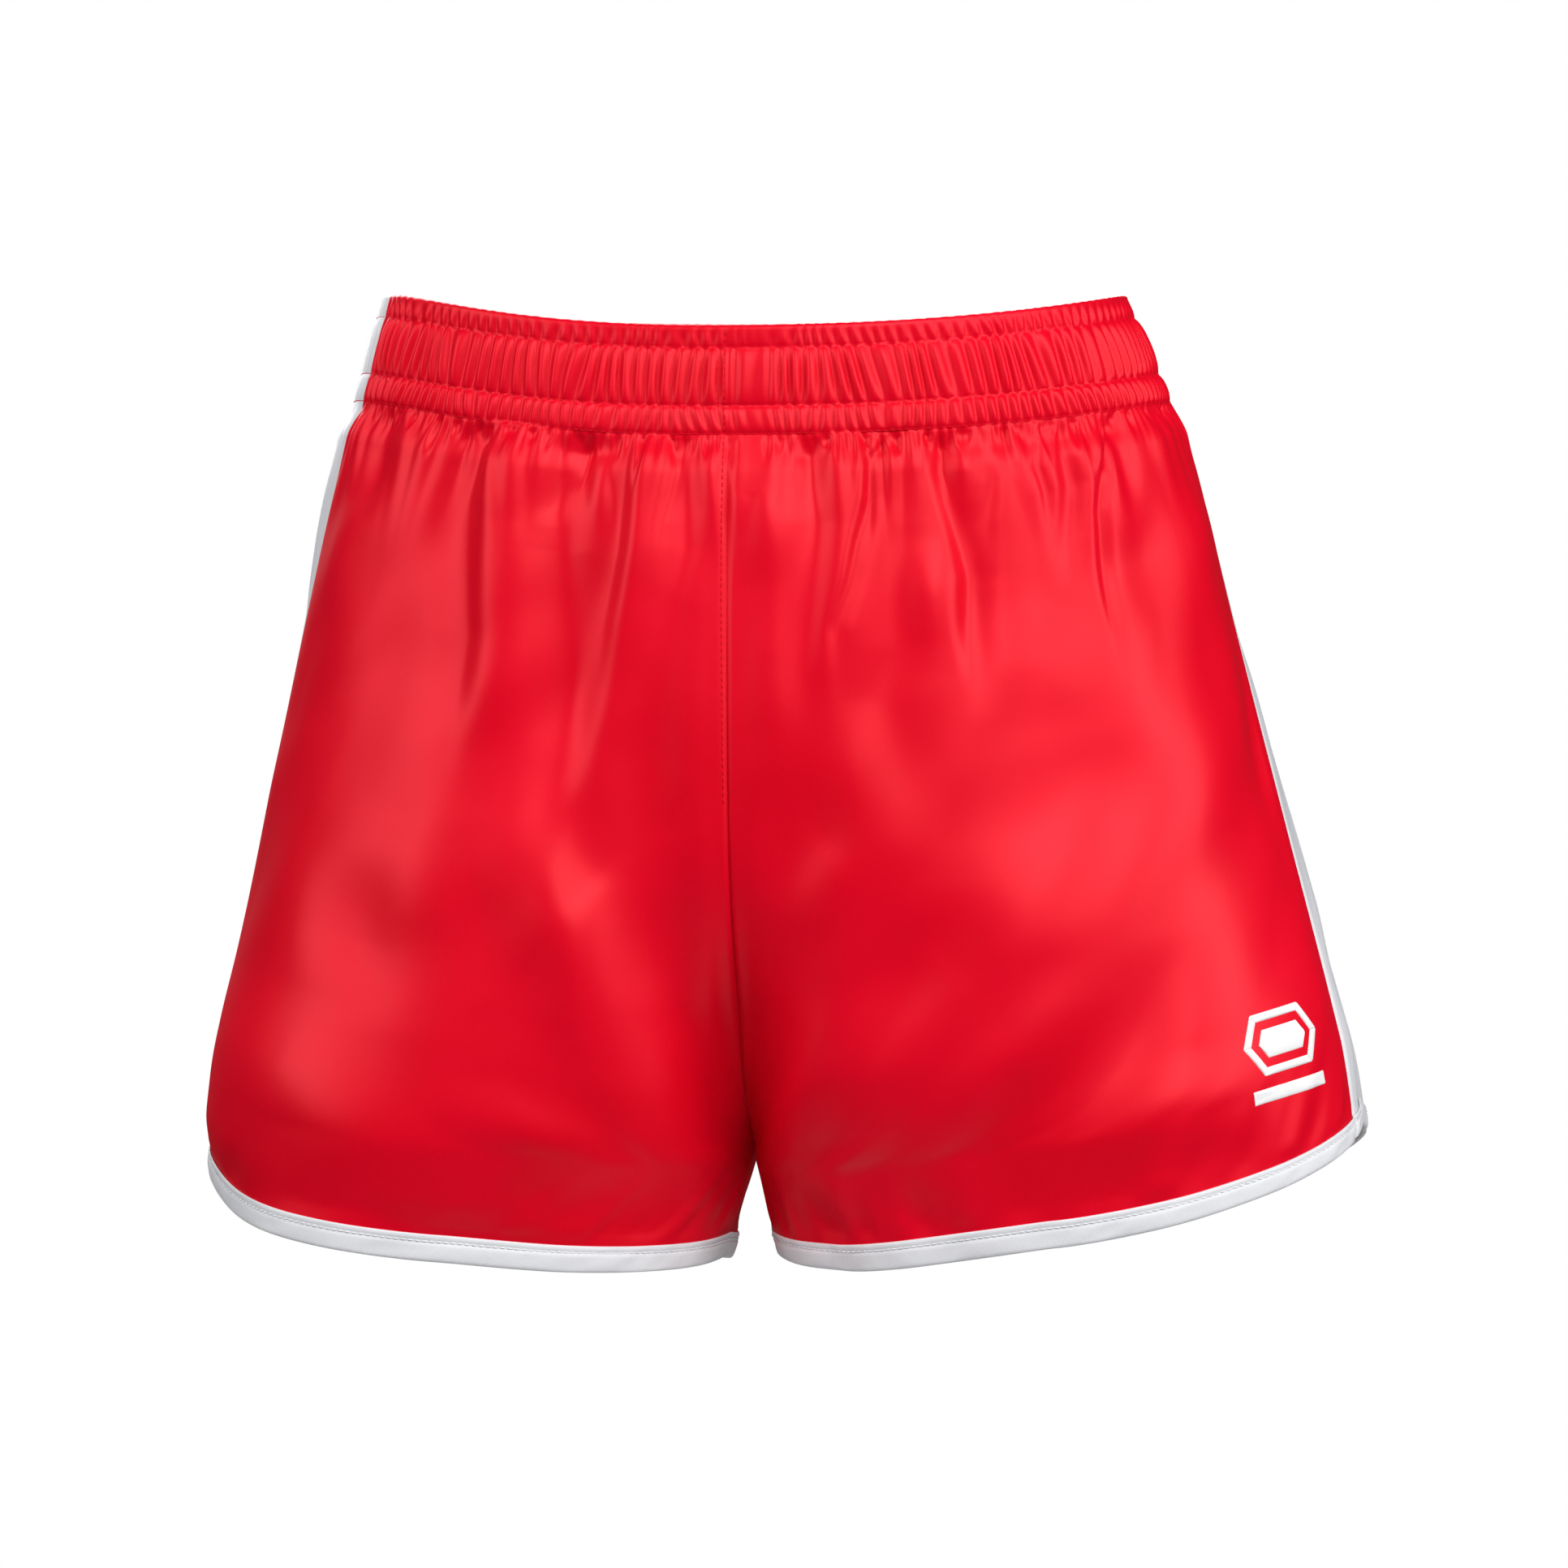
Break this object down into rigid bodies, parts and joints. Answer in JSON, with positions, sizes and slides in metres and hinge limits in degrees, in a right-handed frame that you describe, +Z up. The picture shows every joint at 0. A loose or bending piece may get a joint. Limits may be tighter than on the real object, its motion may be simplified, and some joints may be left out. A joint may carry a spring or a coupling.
{
  "type": "boxing shorts",
  "caption": "Short red satin athletic shorts with a gathered elastic waistband, white side panels, white bound curved hems and a small embroidered emblem.",
  "frame": {"origin": "middle of the waist opening, on the garment's central axis, half way down the elastic waistband", "axes": "+Z up towards the waist, +X towards the wearer's left, -Y towards the wearer's front"},
  "size_m": [0.4358, 0.2248, 0.3622],
  "materials": {
    "satin_red": "smooth red polyester satin with a soft sheen",
    "satin_white": "smooth white polyester satin",
    "tape_white": "white woven bias tape with a low sheen",
    "elastic_white": "ribbed woven elastic",
    "thread_red": "twisted red polyester thread",
    "thread_white": "twisted white polyester thread",
    "embroidery_white": "glossy white satin-stitch embroidery",
    "label_white": "smooth woven satin label"
  },
  "bodies": {
    "garment": {"front_panel_left": "satin_red", "front_panel_right": "satin_red", "back_panel_left": "satin_red", "back_panel_right": "satin_red", "side_panel_left": "satin_white", "side_panel_right": "satin_white", "waist_elastic": "elastic_white", "hem_binding_left": "tape_white", "hem_binding_right": "tape_white", "waist_stitch_upper": "thread_red", "waist_stitch_middle": "thread_red", "waist_stitch_lower": "thread_red", "hem_stitch_left": "thread_white", "hem_stitch_right": "thread_white", "front_rise_stitch": "thread_red", "back_rise_stitch": "thread_red", "front_rise_overlock": "thread_red", "back_rise_overlock": "thread_red", "inseam_overlock_left": "thread_red", "inseam_overlock_right": "thread_red", "side_overlock_left": "thread_white", "side_overlock_right": "thread_white", "emblem_embroidery": "embroidery_white", "label_stitch": "thread_white"},
    "size_label": {"size_label": "label_white"},
    "care_label": {"care_label": "label_white"}
  },
  "joints": [
    {"name": "size_label_swing", "type": "hinge", "parent": "garment", "child": "size_label", "pos_m": [0, 0.09502, -0.0174], "axis": [-1, 0, 0], "range_deg": [0, 75]},
    {"name": "care_label_swing", "type": "hinge", "parent": "garment", "child": "care_label", "pos_m": [0, 0.09502, -0.0174], "axis": [-1, 0, 0], "range_deg": [0, 75]}
  ]
}
